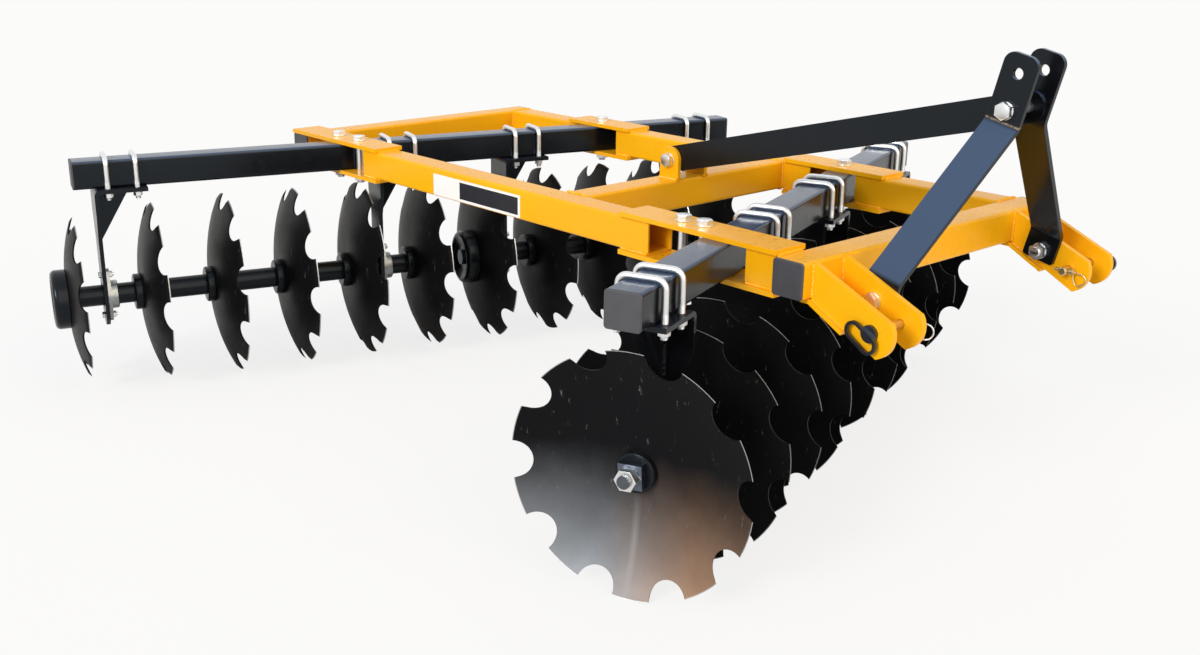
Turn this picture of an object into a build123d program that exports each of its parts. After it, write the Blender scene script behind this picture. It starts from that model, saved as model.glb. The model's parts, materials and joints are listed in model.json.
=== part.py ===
from build123d import *
import os
from math import asin, atan2, cos, degrees, radians, sin, tan

# Three-point offset disc harrow, in millimetres.
# +Z is up, +Y is forward towards the tractor and +X is the machine's right-hand side.
# It is drawn with X = 0 on the centreline, Y = 0 at the front crossmember and Z = 0 on the floor.
# At the end everything moves to the middle of its own footprint.

# Square tube of the frame and of the gang beams
tube = 88.9
tube_wall = 6.35
tube_corner = 9.0

# Frame
rail_spacing = 920.0           # between the side rails' centrelines
middle_crossmember_y = -848.0
rear_crossmember_y = -2220.0
front_crossmember_proud = 12.0  # its ends stand out past the rails
cap_thickness = 6.0
cap_depth = 25.0
cap_fit = 0.3
front_row_behind = 428.0       # from the front crossmember to the front beam, on the centreline
rear_row_ahead = 381.0         # from the rear crossmember to the rear beam

# Disc gangs
disc_diameter = 600.0
outer_disc_diameters = {"rear_right": (580.0, 520.0)}   # the last discs before the bumper
disc_thickness = 5.0
disc_dish = 57.0
disc_hub_flat = 62.0           # radius of the flat middle
disc_bevel = 14.0              # width of the ground edge
disc_edge = 1.0                # thickness left at the edge
notch_count = 10
notch_radius = 47.0
disc_pitch = 232.0
disc_beam_gap = 59.1           # between the discs and the beam over them
arbor = 32.0                   # square bar through the gang
arbor_clearance = 0.5
spool_diameter = 68.0
spool_flange_diameter = 118.0
spool_flange = 25.0
bumper_diameter = 192.0
bumper_thickness = 46.0
bumper_rim = 77.0              # radius where the recess starts
bumper_pan = 48.0              # radius of its flat bottom
bumper_recess = 14.0
bumper_edge = 16.0             # radius round its outer edge
end_washer_diameter = 98.0
end_washer_thickness = 20.0
end_washer_edge = 5.0
arbor_head = 54.0              # round, in the bumper's recess
arbor_head_height = 11.0
square_washer = 60.0
square_washer_thickness = 24.0
arbor_nut_across = 48.0
arbor_nut_height = 26.0
arbor_thread_step = 2.0        # the thread is thinner than the bar
arbor_thread_end = 8.0         # thread past the nut
bore_corner_gap = 0.4          # round the bar's corners, in spools and bumpers
gang_spin = 2.8                # degrees that the gangs have rolled from a tooth at the top

# Hangers, their U-bolts and bearings
hanger_plate = 12.7
hanger_top_edge = 18.5         # from a U-bolt's hole centre to the top plate's side
hanger_top_length = 165.0      # along the beam
hanger_side = 10.0             # left beside the axle's hole, in the upright
hanger_tip = 27.0              # below the lower bearing bolt
hanger_tip_chamfer = 24.0
hanger_shoulder = 95.0         # full width ends this far down, and the taper ends at the waist
hanger_waist = 165.0
hanger_bend = 19.0
gusset_length = 100.0
gusset_height = 165.0
gusset_plate = 10.0
u_bolt_bar = 16.0
u_bolt_stations = (38.0, 128.0)   # from the upright, towards the hollow side
u_bolt_side_gap = 4.0
u_bolt_inner_radius = 14.0
u_bolt_seat = 0.3
u_bolt_nut = 25.0              # across its flats
u_bolt_nut_height = 14.0
u_bolt_tail = 9.0              # thread past the nut
bearing_bolt_out = 34.0        # from the axle's surface to the bolt's centre
bearing_bolt = 12.0
bearing_bolt_head = 19.0       # across its flats
bearing_ear = 20.0             # radius of the flange's ends
bearing_flange = 12.0
bearing_flange_wall = 14.0     # round the axle
bearing_wall = 12.0
bearing_length = 34.0
bearing_edge = 4.0
bearing_running_gap = 0.05
hanger_axle_gap = 6.0          # round the spool, in the hanger
beam_past_nut_side = 88.0      # beam's end past its last U-bolt
beam_past_bumper_side = 60.0   # beam's end past its last upright

# Crossings: plates over and under the gaps in the rails
crossing_plate = 12.7
crossing_plate_side = 9.0      # stands out past each side of the rail
clamp_bolt = 25.0
clamp_bolt_gap = 4.0           # between a clamp bolt and the beam's side
clamp_bolt_tail = 8.0
clamp_bolt_step = 72.0         # between the two bolts behind the front beam
bolt_hole_gap = 0.5            # round a plain bolt's shank
big_bolt_head = 38.0           # across the flats, on clamp and frame bolts
big_bolt_head_height = 16.0
big_bolt_nut_height = 20.0

# Clevises for the lower links
clevis_x = 420.0               # middle of the slot
clevis_slot = 94.0
clevis_ear = 16.0
clevis_nose_radius = 59.0      # about the hitch pin
clevis_top_drop = 2.0          # from the rail top to the ears' top corner
clevis_nose_turns = (57.0, 17.0)  # where the nose's arc starts and ends, past upright
clevis_foot = 10.0             # plate bent under the crossmember and the ears
clevis_foot_under = 26.0       # its reach under the crossmember
clevis_foot_length = 112.0     # along the ears' lower edges
clevis_foot_lip = 12.0         # stands out past each ear
hitch_pin_diameter = 22.2
hitch_pin_y = 211.0
hitch_pin_below_rail_top = 130.0
hitch_pin_clearance = 0.25
pin_handle = (92.0, 46.0)      # loop on the pin's head
pin_handle_bar = 8.0
pin_handle_offset = (-16.0, -11.0)
pin_handle_turn = -32.0
pin_head_diameter = 41.0
pin_head = 9.0
pin_past_ear = 30.0
linchpin_diameter = 9.5
linchpin_length = 56.0
linchpin_past_ear = 14.0
linchpin_collar = (17.0, 13.0)  # diameter and height
linchpin_fit = 0.3

# Mast and braces
strap_width = 89.0
strap_plate = 12.7
strap_lean = 13.1              # degrees forward from upright
strap_foot_y = 133.0
strap_foot_below_rail_top = 93.0
strap_foot_end = 25.0          # below the foot bolt, along the strap
strap_lower_bend = 55.0
strap_upper_bend = 398.0
brace_bolt_height = 428.0
top_link_height = 516.0
strap_length = 561.0
strap_top_gap = 100.0          # between the straps' inner faces
strap_bend_radius = 25.0
strap_round_top = 26.7         # radii of the strap's corners
strap_round_foot = 8.0
top_link_hole = 26.0
brace_width = 76.0
brace_plate = 12.7
brace_lug_height = 56.0        # of its bolt, above the rail top
brace_lug_y = 8.0              # ahead of the middle crossmember's centre
frame_bolt = 25.0
frame_bolt_tail = 6.0

# What follows from the sizes above
disc_radius = disc_diameter / 2
axle_drop = disc_radius + disc_beam_gap + tube    # top of the rails down to the gangs' axis
rail_top = disc_radius + axle_drop
rail_middle = rail_top - tube / 2
rail_bottom = rail_top - tube
front_face = tube / 2                      # of the front crossmember
rear_face = -tube / 2
crossing_half = tube / 2 + crossing_plate_side
u_bolt_side = tube / 2 + u_bolt_side_gap + u_bolt_bar / 2    # a leg's distance from the beam's centre
hanger_top_half = u_bolt_side + hanger_top_edge
bearing_bolt_offset = spool_diameter / 2 + bearing_bolt_out
right, left = 1, -1
pieces = {}                                # node name: its finished part


class DiscRow:
    """One row: a beam and its two gangs. The row's own +X is the way the discs' hollow faces look."""

    def __init__(self, name, centre_y, turn, crossing_gap, gangs):
        """The second gang's first hanger stands crossing_gap away from the crossing plates behind it."""
        self.name = name
        self.turn = turn
        self.frame = Plane(origin=(0, centre_y, 0), x_dir=(cos(radians(turn)), sin(radians(turn)), 0))
        slant = abs(tan(radians(turn)))
        plates_edge = -(rail_spacing / 2 - crossing_half) / abs(cos(radians(turn))) + hanger_top_half * slant
        inner_hanger = plates_edge + crossing_gap + hanger_plate / 2
        nut_disc = inner_hanger + disc_pitch * (gangs[0][1] + 0.5)
        stations = [nut_disc - disc_pitch * k for k in range(sum(count for _, count in gangs))]
        self.gangs = {}
        for gang, count in gangs:
            self.gangs[gang] = stations[:count]
            stations = stations[count:]

    def hangers(self, gang):
        """A hanger stands midway between the first two and the last two discs."""
        discs = self.gangs[gang]
        return [discs[0] - disc_pitch / 2, discs[-1] + disc_pitch / 2]

    def at(self, stations, height, spins=(0,)):
        """A place at each station along the row, at a height, turned about the row by its spin."""
        return [self.frame.location * Location((station, 0, height), (spins[k % len(spins)], 0, 0))
                for k, station in enumerate(stations)]

    def beam_y(self, x):
        """Where the beam's centreline crosses the given X."""
        return self.frame.origin.Y + x * tan(radians(self.turn))

    def beam_half(self, width):
        """Half of a width square to the beam, measured along Y."""
        return abs(width / 2 / cos(radians(self.turn)))


# row, y on the centreline, turn from +X, gap from hanger to crossing, gangs and their discs from the nut end
front_row = DiscRow("front", -front_row_behind, 20.6, 69.6, (("front_right", 5), ("front_left", 5)))
rear_row = DiscRow("rear", rear_crossmember_y + rear_row_ahead, 180 - 16.5, 3.4,
                   (("rear_left", 5), ("rear_right", 6)))
disc_rows = (front_row, rear_row)


def tube_section():
    """Square tube outline with rounded corners, in the sketch that is open."""
    RectangleRounded(tube, tube, tube_corner)
    inner = tube - 2 * tube_wall
    RectangleRounded(inner, inner, tube_corner - tube_wall, mode=Mode.SUBTRACT)


def place_copies(part, locations):
    """Copies of one piece at each place, as one part of several solids."""
    with BuildPart() as group:
        with Locations(*locations):
            add(part)
    return group.part


def bolt(diameter, grip, across, head, nut, tail):
    """Hexagon bolt down the Z axis, its head seated on Z = 0 and its nut under the grip."""
    with BuildPart() as fastener:
        with BuildSketch(Plane.XY):
            RegularPolygon(across / 2, 6, major_radius=False)
        extrude(amount=head)
        with BuildSketch(Plane.XY):
            Circle(diameter / 2)
        extrude(amount=-(grip + nut + tail))
        with BuildSketch(Plane.XY.offset(-grip)):
            RegularPolygon(across / 2, 6, major_radius=False)
        extrude(amount=-nut)
    return fastener.part


# Crossmembers: Y, half length
crossmembers = {
    "front_crossmember": (0.0, rail_spacing / 2 + tube / 2 + front_crossmember_proud),
    "middle_crossmember": (middle_crossmember_y, rail_spacing / 2 - tube / 2),
    "rear_crossmember": (rear_crossmember_y, rail_spacing / 2 + tube / 2),
}
for name, (y, half) in crossmembers.items():
    with BuildPart() as crossmember:
        with BuildSketch(Plane.YZ.offset(-half)):
            with Locations((y, rail_middle)):
                tube_section()
        extrude(amount=2 * half)
    pieces[name] = crossmember.part

# Crossings: name, row, side, how far the rail's gap reaches ahead of the beam's centre and behind it,
# and how far the plates do. None is as far as the crossmember.
crossings = (
    ("right_front", front_row, right, 113.0, 217.0, None, 320.0),
    ("right_rear", rear_row, right, 154.0, None, 240.0, None),
    ("left_front", front_row, left, 79.0, 95.0, 179.0, 195.0),
    ("left_rear", rear_row, left, 122.0, 88.0, 192.0, 128.0),
)
rear_tube_front = rear_crossmember_y + tube / 2
rear_tube_back = rear_crossmember_y - tube / 2

# Side rails: name, side, front end, rear end. A gap ends one piece and the next starts behind it.
rails = []
for side_name, side in (("right", right), ("left", left)):
    front_end = rear_face
    gaps = [(row.beam_y(side * rail_spacing / 2), ahead, behind)
            for _, row, row_side, ahead, behind, _, _ in crossings if row_side == side]
    for part_name, (beam_y, ahead, behind) in zip(("front", "middle"), gaps):
        rails.append((f"{side_name}_rail_{part_name}", side, front_end, beam_y + ahead))
        front_end = beam_y - behind if behind else None
    if front_end:
        rails.append((f"{side_name}_rail_rear", side, front_end, rear_tube_front))
for name, side, front_end, rear_end in rails:
    with BuildPart() as rail:
        with BuildSketch(Plane.XZ.offset(-front_end)):
            with Locations((side * rail_spacing / 2, rail_middle)):
                tube_section()
        extrude(amount=front_end - rear_end)
    pieces[name] = rail.part

# Bolts along each crossing: one pivot through the beam on the left, clamps beside the beam on the right
right_beam_y = front_row.beam_y(rail_spacing / 2)
first_clamp = right_beam_y - front_row.beam_half(tube + clamp_bolt) - clamp_bolt_gap
rear_beam_y = rear_row.beam_y(rail_spacing / 2)
rear_clamp = rear_row.beam_half(tube + clamp_bolt) + clamp_bolt_gap
crossing_bolt_ys = {
    "right_front": (first_clamp, first_clamp - clamp_bolt_step),
    "right_rear": (rear_beam_y + rear_clamp, rear_beam_y - rear_clamp),
    "left_front": (front_row.beam_y(-rail_spacing / 2),),
    "left_rear": (rear_row.beam_y(-rail_spacing / 2),),
}
crossing_bolt = bolt(clamp_bolt, tube + 2 * crossing_plate, big_bolt_head, big_bolt_head_height,
                     big_bolt_nut_height, clamp_bolt_tail)
for name, row, side, _, _, plates_ahead, plates_behind in crossings:
    x = side * rail_spacing / 2
    beam_y, bolt_ys = row.beam_y(x), crossing_bolt_ys[name]
    front_end = beam_y + plates_ahead if plates_ahead else rear_face
    rear_end = beam_y - plates_behind if plates_behind else rear_tube_back
    with BuildPart() as plates:
        for bottom in (rail_top, rail_bottom - crossing_plate):
            with BuildSketch(Plane.XY.offset(bottom)):
                with Locations((x, (front_end + rear_end) / 2)):
                    Rectangle(2 * crossing_half, front_end - rear_end)
                with Locations(*[(x, y) for y in bolt_ys]):
                    Circle(clamp_bolt / 2 + bolt_hole_gap, mode=Mode.SUBTRACT)
            extrude(amount=crossing_plate)
    pieces[f"{name}_crossing_plates"] = plates.part
    top = rail_top + crossing_plate
    pieces[f"{name}_crossing_bolts"] = place_copies(crossing_bolt, [Location((x, y, top)) for y in bolt_ys])

# Gang beams, drilled where the pivot bolt goes through on the left
for row in disc_rows:
    stations = [s for gang in row.gangs for s in row.hangers(gang)]
    nut_end = stations[0] + u_bolt_stations[-1] + beam_past_nut_side
    bumper_end = stations[-1] - beam_past_bumper_side
    with BuildPart() as beam:
        with BuildSketch(Plane(origin=row.frame.from_local_coords((bumper_end, 0, rail_middle)),
                               x_dir=row.frame.y_dir, z_dir=row.frame.x_dir)):
            tube_section()
        extrude(amount=nut_end - bumper_end)
        with Locations((-rail_spacing / 2, row.beam_y(-rail_spacing / 2), rail_middle)):
            Cylinder(clamp_bolt / 2 + bolt_hole_gap, 2 * tube, mode=Mode.SUBTRACT)
    pieces[f"{row.name}_gang_beam"] = beam.part
    row.beam_ends = (bumper_end, nut_end)

# Plastic caps in the open tube ends, drawn with the tube's end on X = 0 and the tube behind it
with BuildPart() as cap:
    with BuildSketch(Plane.YZ):
        RectangleRounded(tube, tube, tube_corner)
    extrude(amount=cap_thickness)
    fillet(cap.faces().sort_by(Axis.X)[-1].edges(), cap_thickness / 2)
    plug = tube - 2 * tube_wall - 2 * cap_fit
    with BuildSketch(Plane.YZ):
        RectangleRounded(plug, plug, tube_corner - tube_wall)
    extrude(amount=-cap_depth)
cap_places = []
for name in ("front_crossmember", "rear_crossmember"):
    y, half = crossmembers[name]
    cap_places += [Location((half, y, rail_middle)), Location((-half, y, rail_middle), (0, 0, 180))]
for row in disc_rows:
    bumper_end, nut_end = row.beam_ends
    cap_places += row.at([nut_end], rail_middle)
    cap_places += [row.at([bumper_end], rail_middle)[0] * Location((0, 0, 0), (0, 0, 180))]
pieces["tube_end_caps"] = place_copies(cap.part, cap_places)

# From here to the end of the gangs, pieces are drawn about the gang's axis:
# X along it, the way the hollow faces look, and Z up.
beam_under = axle_drop - tube              # underside of the beam, above the axis
plate_under = beam_under - hanger_plate    # underside of the hanger's top plate
hanger_foot = -bearing_bolt_offset - hanger_tip
axle_hole = spool_diameter / 2 + hanger_axle_gap

with BuildPart() as hanger:
    with BuildSketch(Plane.XZ):
        with BuildLine():
            FilletPolyline((-hanger_plate / 2, hanger_foot), (-hanger_plate / 2, beam_under),
                           (hanger_top_length - hanger_plate / 2, beam_under), radius=hanger_bend)
            offset(amount=-hanger_plate, side=Side.RIGHT)
        make_face()
    extrude(amount=hanger_top_half, both=True)
    with BuildSketch(Plane.YZ):
        shoulder, waist = beam_under - hanger_shoulder, beam_under - hanger_waist
        top, half, tip = hanger_top_half, axle_hole + hanger_side, hanger_tip_chamfer
        with BuildLine():
            Polyline((0, beam_under), (top, beam_under), (top, shoulder), (half, waist),
                     (half, hanger_foot + tip), (tip, hanger_foot), (0, hanger_foot))
            mirror(about=Plane.YZ)
        make_face()
    extrude(amount=2 * hanger_top_length, both=True, mode=Mode.INTERSECT)
    with BuildSketch(Plane.XZ):
        inner_face = hanger_plate / 2
        with BuildLine():
            Polyline((inner_face, plate_under), (inner_face + gusset_length, plate_under),
                     (inner_face, plate_under - gusset_height), close=True)
        make_face()
    extrude(amount=gusset_plate / 2, both=True)
    with BuildSketch(Plane.YZ):
        Circle(axle_hole)
        with Locations((0, bearing_bolt_offset), (0, -bearing_bolt_offset)):
            Circle(bearing_bolt / 2 + bolt_hole_gap)
    extrude(amount=hanger_plate, both=True, mode=Mode.SUBTRACT)
    with BuildSketch(Plane.XY.offset(plate_under)):
        with Locations(*[(s, side * u_bolt_side) for s in u_bolt_stations for side in (1, -1)]):
            Circle(u_bolt_bar / 2 + bolt_hole_gap)
    extrude(amount=2 * hanger_plate, mode=Mode.SUBTRACT)

with BuildPart() as u_bolt:
    leg_end = plate_under - u_bolt_nut_height - u_bolt_tail
    crown = axle_drop + u_bolt_seat + u_bolt_bar / 2
    with BuildLine(Plane.YZ):
        FilletPolyline((-u_bolt_side, leg_end), (-u_bolt_side, crown), (u_bolt_side, crown),
                       (u_bolt_side, leg_end), radius=u_bolt_inner_radius + u_bolt_bar / 2)
    with BuildSketch(Plane.XY.offset(leg_end)):
        with Locations((0, -u_bolt_side)):
            Circle(u_bolt_bar / 2)
    sweep()
    with BuildSketch(Plane.XY.offset(plate_under)):
        with Locations((0, u_bolt_side), (0, -u_bolt_side)):
            RegularPolygon(u_bolt_nut / 2, 6, major_radius=False)
    extrude(amount=-u_bolt_nut_height)

with BuildPart() as bearing:
    seat = hanger_plate / 2
    with BuildSketch(Plane.YZ.offset(seat)):
        Circle(spool_diameter / 2 + bearing_flange_wall)
        with Locations((0, bearing_bolt_offset), (0, -bearing_bolt_offset)):
            Circle(bearing_ear)
        make_hull()
    extrude(amount=bearing_flange)
    with BuildSketch(Plane.YZ.offset(seat)):
        Circle(spool_diameter / 2 + bearing_wall)
    extrude(amount=bearing_length)
    fillet(bearing.faces().sort_by(Axis.X)[-1].edges(), bearing_edge)
    with BuildSketch(Plane.YZ.offset(seat)):
        Circle(spool_diameter / 2 + bearing_running_gap)
        with Locations((0, bearing_bolt_offset), (0, -bearing_bolt_offset)):
            Circle(bearing_bolt / 2 + bolt_hole_gap)
    extrude(amount=bearing_length, mode=Mode.SUBTRACT)

bearing_fastener = bolt(bearing_bolt, hanger_plate + bearing_flange, bearing_bolt_head, 8.0, 10.0, 5.0)

reach = disc_radius - disc_hub_flat
hollow_radius = (reach ** 2 + disc_dish ** 2) / (2 * disc_dish)


def make_disc(diameter):
    """Notched disc with its back on X = 0. A smaller one is cut from the same curve."""
    radius = diameter / 2
    back_radius = hollow_radius + disc_thickness
    rim_angle = degrees(asin((radius - disc_hub_flat) / hollow_radius))
    bevel_angle = degrees(disc_bevel / back_radius)
    # both faces are arcs about one centre that start square to the axis at the edge of the flat middle
    centre = (disc_thickness + hollow_radius, disc_hub_flat)
    with BuildPart() as disc:
        with BuildSketch(Plane.XZ):
            with BuildLine():
                hollow = CenterArc(centre, hollow_radius, 180, -rim_angle)
                back = CenterArc(centre, back_radius, 180, bevel_angle - rim_angle)
                Polyline(back @ 0, (0, 0), (disc_thickness, 0), hollow @ 0)
                Polyline(back @ 1, hollow @ 1 - (disc_edge, 0), hollow @ 1)
            make_face()
        revolve(axis=Axis.X)
        with BuildSketch(Plane.YZ):
            with PolarLocations(radius, notch_count, start_angle=90 + 180 / notch_count):
                Circle(notch_radius)
            Rectangle(arbor + 2 * arbor_clearance, arbor + 2 * arbor_clearance)
        extrude(amount=radius, both=True, mode=Mode.SUBTRACT)
    return disc.part


whole_disc = make_disc(disc_diameter)
bar_bore = arbor / 2 ** 0.5 + bore_corner_gap
with BuildPart() as spool:
    with BuildSketch(Plane.YZ):
        Circle(spool_flange_diameter / 2)
    extrude(amount=-spool_flange)
    fillet(spool.faces().sort_by(Axis.X)[0].edges(), spool_flange / 4)
    with BuildSketch(Plane.YZ):
        Circle(spool_diameter / 2)
    extrude(amount=-(disc_pitch - disc_thickness))
    with BuildSketch(Plane.YZ):
        Circle(bar_bore)
    extrude(amount=-disc_pitch, mode=Mode.SUBTRACT)

with BuildPart() as end_washer:
    with BuildSketch(Plane.YZ.offset(disc_thickness)):
        Circle(end_washer_diameter / 2)
        Rectangle(arbor + 2 * arbor_clearance, arbor + 2 * arbor_clearance, mode=Mode.SUBTRACT)
    extrude(amount=end_washer_thickness)
    fillet(end_washer.faces().sort_by(Axis.X)[-1].outer_wire().edges(), end_washer_edge)

with BuildPart() as bumper:
    outer, face, pan = bumper_diameter / 2, -bumper_thickness, bumper_recess - bumper_thickness
    with BuildSketch(Plane.XZ):
        with BuildLine():
            Polyline((0, bar_bore), (0, outer), (face, outer), (face, bumper_rim), (pan, bumper_pan),
                     (pan, bar_bore), close=True)
        make_face()
    revolve(axis=Axis.X)
    rims = bumper.edges().filter_by(GeomType.CIRCLE).group_by(SortBy.RADIUS)[-1]
    fillet(rims.sort_by(Axis.X)[0], bumper_edge)

for row in disc_rows:
    fasteners, u_bar_places = [], []
    for gang, stations in row.gangs.items():
        spins = (gang_spin, gang_spin + 90)    # the square bar lets each disc go on in quarter turns
        smaller = [make_disc(diameter) for diameter in outer_disc_diameters.get(gang, ())]
        discs = [whole_disc] * (len(stations) - len(smaller)) + smaller
        with BuildPart() as gang_discs:
            for disc, disc_place in zip(discs, row.at(stations, disc_radius, spins)):
                with Locations(disc_place):
                    add(disc)
        pieces[f"{gang}_discs"] = gang_discs.part
        pieces[f"{gang}_bumper"] = place_copies(bumper.part, row.at(stations[-1:], disc_radius))
        with BuildPart() as spools:
            with Locations(*row.at(stations[:-1], disc_radius)):
                add(spool.part)
            with Locations(*row.at(stations[:1], disc_radius, spins)):
                add(end_washer.part)
        pieces[f"{gang}_spools"] = spools.part

        # square bar through the gang, with its head in the bumper and its nut at the hollow end
        head_seat = -bumper_thickness + bumper_recess
        run = stations[0] - stations[-1]
        washer_seat = run + disc_thickness + end_washer_thickness
        with BuildPart() as arbor_bolt:
            with BuildSketch(Plane.YZ.offset(head_seat)):
                Rectangle(arbor, arbor)
            extrude(amount=washer_seat + square_washer_thickness - head_seat)
            with BuildSketch(Plane.YZ.offset(head_seat)):
                Circle(arbor_head / 2)
            extrude(amount=-arbor_head_height)
            with BuildSketch(Plane.YZ.offset(washer_seat)):
                Rectangle(square_washer, square_washer)
            extrude(amount=square_washer_thickness)
            with BuildSketch(Plane.YZ.offset(washer_seat + square_washer_thickness)):
                RegularPolygon(arbor_nut_across / 2, 6, major_radius=False)
            extrude(amount=arbor_nut_height)
            with BuildSketch(Plane.YZ.offset(washer_seat + square_washer_thickness)):
                Circle((arbor - arbor_thread_step) / 2)
            extrude(amount=arbor_nut_height + arbor_thread_end)
        head_place = row.at(stations[-1:], disc_radius, spins)
        pieces[f"{gang}_arbor_bolt"] = place_copies(arbor_bolt.part, head_place)

        hangers = row.at(row.hangers(gang), disc_radius)
        pieces[f"{gang}_hangers"] = place_copies(hanger.part, hangers)
        pieces[f"{gang}_bearings"] = place_copies(bearing.part, hangers)
        u_bar_places += [h * Location((s, 0, 0)) for h in hangers for s in u_bolt_stations]
        fasteners += [h * Location((-hanger_plate / 2, 0, z), (0, -90, 0))
                      for h in hangers for z in (bearing_bolt_offset, -bearing_bolt_offset)]
    pieces[f"{row.name}_u_bolts"] = place_copies(u_bolt.part, u_bar_places)
    pieces[f"{row.name}_bearing_bolts"] = place_copies(bearing_fastener, fasteners)

# Clevises: two ears and a foot plate, bent under the crossmember and along the ears' lower edges
pin_z = rail_top - hitch_pin_below_rail_top
ear_top = Vector(front_face, rail_top - clevis_top_drop)
ear_heel = Vector(front_face, rail_bottom)
top_turn, foot_turn = clevis_nose_turns
pin_centre = Vector(hitch_pin_y, pin_z)
nose_front = pin_centre + Vector(clevis_nose_radius, 0)
nose_top = pin_centre + Vector(0, clevis_nose_radius).rotate(Axis.Z, -top_turn)
nose_foot = pin_centre + Vector(0, -clevis_nose_radius).rotate(Axis.Z, foot_turn)
foot_slope = atan2(rail_bottom - nose_foot.Y, nose_foot.X - front_face)
foot_start = ear_heel - Vector(clevis_foot_under, 0)
foot_end = ear_heel + Vector(cos(foot_slope), -sin(foot_slope)) * clevis_foot_length
foot_end_below = foot_end - Vector(sin(foot_slope), cos(foot_slope)) * clevis_foot
foot_bend_below = ear_heel - Vector(clevis_foot * tan(foot_slope / 2), clevis_foot)
strap_foot = Vector(0, strap_foot_y, rail_top - strap_foot_below_rail_top)
for name, side in (("right", right), ("left", left)):
    x = side * clevis_x
    with BuildPart() as clevis:
        for ear in (1, -1):
            with BuildSketch(Plane.YZ.offset(x + ear * (clevis_slot + clevis_ear) / 2 - clevis_ear / 2)):
                with BuildLine():
                    Polyline(nose_top, ear_top, ear_heel, nose_foot)
                    ThreePointArc(nose_top, nose_front, nose_foot)
                make_face()
                with Locations((hitch_pin_y, pin_z)):
                    Circle(hitch_pin_diameter / 2 + hitch_pin_clearance, mode=Mode.SUBTRACT)
                if ear == -side:
                    with Locations((strap_foot_y, strap_foot.Z)):
                        Circle(frame_bolt / 2 + bolt_hole_gap, mode=Mode.SUBTRACT)
            extrude(amount=clevis_ear)
        with BuildSketch(Plane.YZ.offset(x)):
            with BuildLine():
                Polyline(foot_start, ear_heel, foot_end, foot_end_below, foot_bend_below,
                         foot_start - Vector(0, clevis_foot), close=True)
            make_face()
        extrude(amount=clevis_slot / 2 + clevis_ear + clevis_foot_lip, both=True)
    pieces[f"{name}_clevis"] = clevis.part

    # hitch pin: head outside the outer ear, linchpin hole beyond the inner ear
    ears = clevis_slot + 2 * clevis_ear
    linchpin_x = ears + linchpin_past_ear
    with BuildPart() as hitch_pin:
        with BuildSketch(Plane.YZ):
            Circle(hitch_pin_diameter / 2)
        extrude(amount=-(ears + pin_past_ear))
        with BuildSketch(Plane.YZ):
            Circle(pin_head_diameter / 2)
        extrude(amount=pin_head)
        chamfer(hitch_pin.faces().sort_by(Axis.X)[0].edges(), 3.0)
        with BuildSketch(Plane.YZ.offset(pin_head)):
            with Locations(Location(pin_handle_offset, pin_handle_turn)):
                SlotOverall(pin_handle[0], pin_handle[1])
                inside = (pin_handle[0] - 2 * pin_handle_bar, pin_handle[1] - 2 * pin_handle_bar)
                SlotOverall(inside[0], inside[1], mode=Mode.SUBTRACT)
        extrude(amount=pin_handle_bar)
        with Locations((-linchpin_x, 0, 0)):
            Cylinder(linchpin_diameter / 2 + linchpin_fit, 2 * hitch_pin_diameter, rotation=(90, 0, 0),
                     mode=Mode.SUBTRACT)
    with BuildPart() as linchpin:
        Cylinder(linchpin_diameter / 2, linchpin_length)
        with BuildSketch(Plane.XY.offset(hitch_pin_diameter / 2 + linchpin_fit)):
            Circle(linchpin_collar[0] / 2)
        extrude(amount=linchpin_collar[1])
    outside = Location((x + side * ears / 2, hitch_pin_y, pin_z), (0, 0, 0 if side == right else 180))
    collar_ahead = (-90 * side, 0, 0)          # turns the linchpin's collar from +Z to the machine's front
    pieces[f"{name}_hitch_pin"] = place_copies(hitch_pin.part, [outside])
    pieces[f"{name}_linchpin"] = place_copies(linchpin.part,
                                             [outside * Location((-linchpin_x, 0, 0), collar_ahead)])

# Mast straps: flat bars, bent in towards the top, drawn in the plane that leans forward with them
lean = radians(strap_lean)
mast_plane = Plane(origin=strap_foot, x_dir=(1, 0, 0), z_dir=(0, -cos(lean), sin(lean)))
strap_foot_x = clevis_x - clevis_slot / 2 - clevis_ear   # inner face of the inner ear
strap_holes = ((0.0, frame_bolt + 2 * bolt_hole_gap), (brace_bolt_height, frame_bolt + 2 * bolt_hole_gap),
               (top_link_height, top_link_hole))     # height along the strap, diameter
for name, side in (("right", right), ("left", left)):
    with BuildPart() as strap:
        with BuildSketch(mast_plane):
            with BuildLine():
                foot_x, top_x = side * strap_foot_x, side * (strap_top_gap / 2 + strap_plate)
                FilletPolyline((foot_x, -strap_foot_end), (foot_x, strap_lower_bend),
                               (top_x, strap_upper_bend), (top_x, strap_length), radius=strap_bend_radius)
                offset(amount=-strap_plate, side=Side.LEFT if side == right else Side.RIGHT)
            make_face()
        extrude(amount=strap_width / 2, both=True)
        corners = strap.edges().filter_by(Axis.X).sort_by(Axis.Z)
        fillet(corners[-2:], strap_round_top)
        fillet(corners[:2], strap_round_foot)
        for height, diameter in strap_holes:
            centre = mast_plane.from_local_coords((0, height, 0))
            with BuildSketch(Plane(origin=centre, x_dir=(0, 1, 0), z_dir=(1, 0, 0))):
                Circle(diameter / 2)
            extrude(amount=side * clevis_x, mode=Mode.SUBTRACT)
    pieces[f"{name}_mast_strap"] = strap.part

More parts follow.
